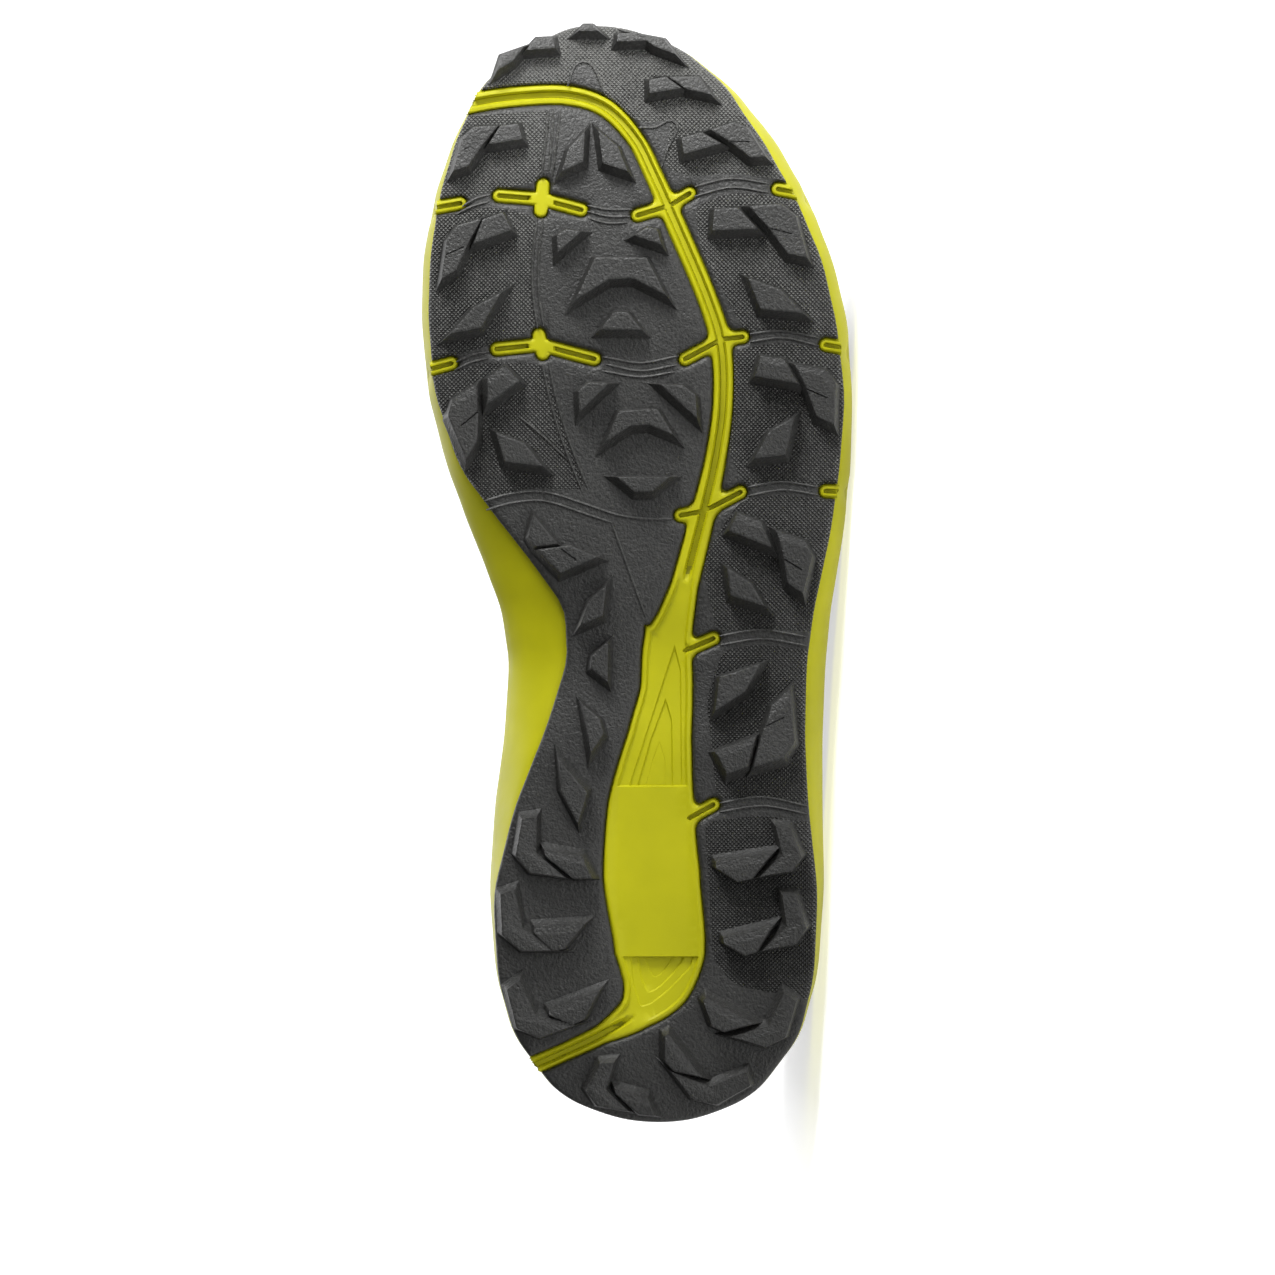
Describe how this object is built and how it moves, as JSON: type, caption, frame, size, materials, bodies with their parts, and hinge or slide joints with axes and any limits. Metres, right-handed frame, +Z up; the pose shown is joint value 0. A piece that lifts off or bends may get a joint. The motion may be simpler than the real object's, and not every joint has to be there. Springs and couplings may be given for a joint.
{
  "type": "hiking shoe",
  "caption": "Low-cut left hiking shoe on its side: lugged two-piece rubber outsole, foam midsole, hollow upper, tongue, insole and laces.",
  "frame": {"origin": "on the floor, under the middle of the shoe's bounding box", "axes": "+X from heel to toe, +Z up from the floor, +Y from the tread to the collar; the shoe lies on its lateral side, as built at rest"},
  "size_m": [0.2988, 0.1328, 0.1191],
  "materials": {
    "rubber": "matt moulded rubber, grained and cross-hatched",
    "foam": "smooth moulded EVA foam, lime",
    "upper_fabric": "woven mesh with matt synthetic overlays",
    "lining": "knitted lining",
    "lace": "braided round lace"
  },
  "bodies": {
    "root": {"outsole_medial": "rubber", "outsole_lateral": "rubber", "midsole": "foam", "upper": "upper_fabric", "tongue": "lining", "insole": "lining", "laces": "lace"}
  },
  "joints": []
}
